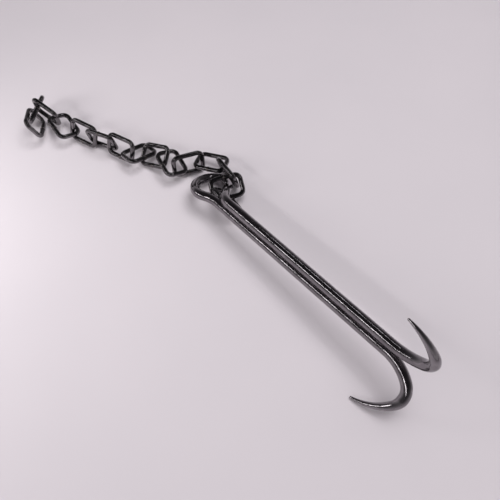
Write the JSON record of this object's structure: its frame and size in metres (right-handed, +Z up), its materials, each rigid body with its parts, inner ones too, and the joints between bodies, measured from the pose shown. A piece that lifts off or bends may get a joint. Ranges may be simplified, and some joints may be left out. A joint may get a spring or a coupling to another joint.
{
  "type": "meat hook",
  "caption": "Two-pronged steel meat hook bent from one round rod, with an eye that holds a length of welded chain and a spare link.",
  "frame": {"origin": "bottom centre of the bounding box as the hook and chain lie on a flat surface", "axes": "+X along the hook's shanks towards the prongs, level; +Z up"},
  "size_m": [0.5113, 0.1412, 0.0983],
  "materials": {
    "rod_steel": "dark, worn smooth and glossy",
    "chain_steel": "dark, worn smooth and glossy"
  },
  "bodies": {
    "hook_rod": {"hook_rod": "rod_steel"},
    "chain_link_01": {"chain_link_01": "chain_steel"},
    "chain_link_02": {"chain_link_02": "chain_steel"},
    "chain_link_03": {"chain_link_03": "chain_steel"},
    "chain_link_04": {"chain_link_04": "chain_steel"},
    "chain_link_05": {"chain_link_05": "chain_steel"},
    "chain_link_06": {"chain_link_06": "chain_steel"},
    "chain_link_07": {"chain_link_07": "chain_steel"},
    "chain_link_08": {"chain_link_08": "chain_steel"},
    "chain_link_09": {"chain_link_09": "chain_steel"},
    "chain_link_10": {"chain_link_10": "chain_steel"},
    "chain_link_11": {"chain_link_11": "chain_steel"},
    "chain_link_12": {"chain_link_12": "chain_steel"},
    "chain_link_13": {"chain_link_13": "chain_steel"},
    "chain_link_14": {"chain_link_14": "chain_steel"},
    "spare_link": {"spare_link": "chain_steel"}
  },
  "joints": [
    {"name": "chain_link_01_swing", "type": "hinge", "parent": "hook_rod", "child": "chain_link_01", "pos_m": [-0.01139, 0.04375, 0.01473], "axis": [-0.63, 0.5582, -0.5399], "range_deg": [-3, 6]},
    {"name": "chain_link_02_swing", "type": "hinge", "parent": "chain_link_01", "child": "chain_link_02", "pos_m": [-0.00402, 0.05629, 0.01667], "axis": [0.7947, -0.3918, -0.4637], "range_deg": [-3, 7]},
    {"name": "chain_link_03_swing", "type": "hinge", "parent": "chain_link_02", "child": "chain_link_03", "pos_m": [-0.04062, 0.05822, 0.01483], "axis": [-0.1087, -0.2265, 0.9679], "range_deg": [-42, 16]},
    {"name": "chain_link_04_swing", "type": "hinge", "parent": "chain_link_03", "child": "chain_link_04", "pos_m": [-0.06276, 0.0451, 0.01249], "axis": [-0.4695, 0.872, -0.1386], "range_deg": [-44, 44]},
    {"name": "chain_link_05_swing", "type": "hinge", "parent": "chain_link_04", "child": "chain_link_05", "pos_m": [-0.06882, 0.01762, 0.01677], "axis": [0.1856, -0.1441, -0.972], "range_deg": [-44, 44]},
    {"name": "chain_link_06_swing", "type": "hinge", "parent": "chain_link_05", "child": "chain_link_06", "pos_m": [-0.09313, 0.02468, 0.01485], "axis": [-0.2243, -0.9483, 0.2246], "range_deg": [-44, 2]},
    {"name": "chain_link_07_swing", "type": "hinge", "parent": "chain_link_06", "child": "chain_link_07", "pos_m": [-0.11435, 0.00898, 0.0076], "axis": [0.432, -0.7426, -0.5119], "range_deg": [-30, 20]},
    {"name": "chain_link_08_swing", "type": "hinge", "parent": "chain_link_07", "child": "chain_link_08", "pos_m": [-0.11516, -0.01173, 0.01503], "axis": [0.9877, 0.0378, 0.1518], "range_deg": [-42, 14]},
    {"name": "chain_link_09_swing", "type": "hinge", "parent": "chain_link_08", "child": "chain_link_09", "pos_m": [-0.1461, -0.01239, 0.01589], "axis": [-0.1582, 0.41, 0.8982], "range_deg": [-16, 9]},
    {"name": "chain_link_10_swing", "type": "hinge", "parent": "chain_link_09", "child": "chain_link_10", "pos_m": [-0.16945, -0.02262, 0.01537], "axis": [-0.0294, 0.1575, -0.9871], "range_deg": [-5, 10]},
    {"name": "chain_link_11_swing", "type": "hinge", "parent": "chain_link_10", "child": "chain_link_11", "pos_m": [-0.19323, -0.03011, 0.01564], "axis": [-0.0954, 0.3967, 0.913], "range_deg": [-40, 40]},
    {"name": "chain_link_12_swing", "type": "hinge", "parent": "chain_link_11", "child": "chain_link_12", "pos_m": [-0.21901, -0.0341, 0.01609], "axis": [-0.0763, -0.9676, 0.2406], "range_deg": [-44, 44]},
    {"name": "chain_link_13_swing", "type": "hinge", "parent": "chain_link_12", "child": "chain_link_13", "pos_m": [-0.2434, -0.04403, 0.02468], "axis": [-0.2587, 0.0432, -0.965], "range_deg": [-8, 40]},
    {"name": "chain_link_14_swing", "type": "hinge", "parent": "chain_link_13", "child": "chain_link_14", "pos_m": [-0.23396, -0.06159, 0.01371], "axis": [0.6727, 0.104, 0.7326], "range_deg": [-7, 30]},
    {"name": "spare_link_swing", "type": "hinge", "parent": "chain_link_01", "child": "spare_link", "pos_m": [-0.0203, 0.0292, 0.01166], "axis": [-0.7947, 0.3918, 0.4637], "range_deg": [-1, 5]}
  ]
}
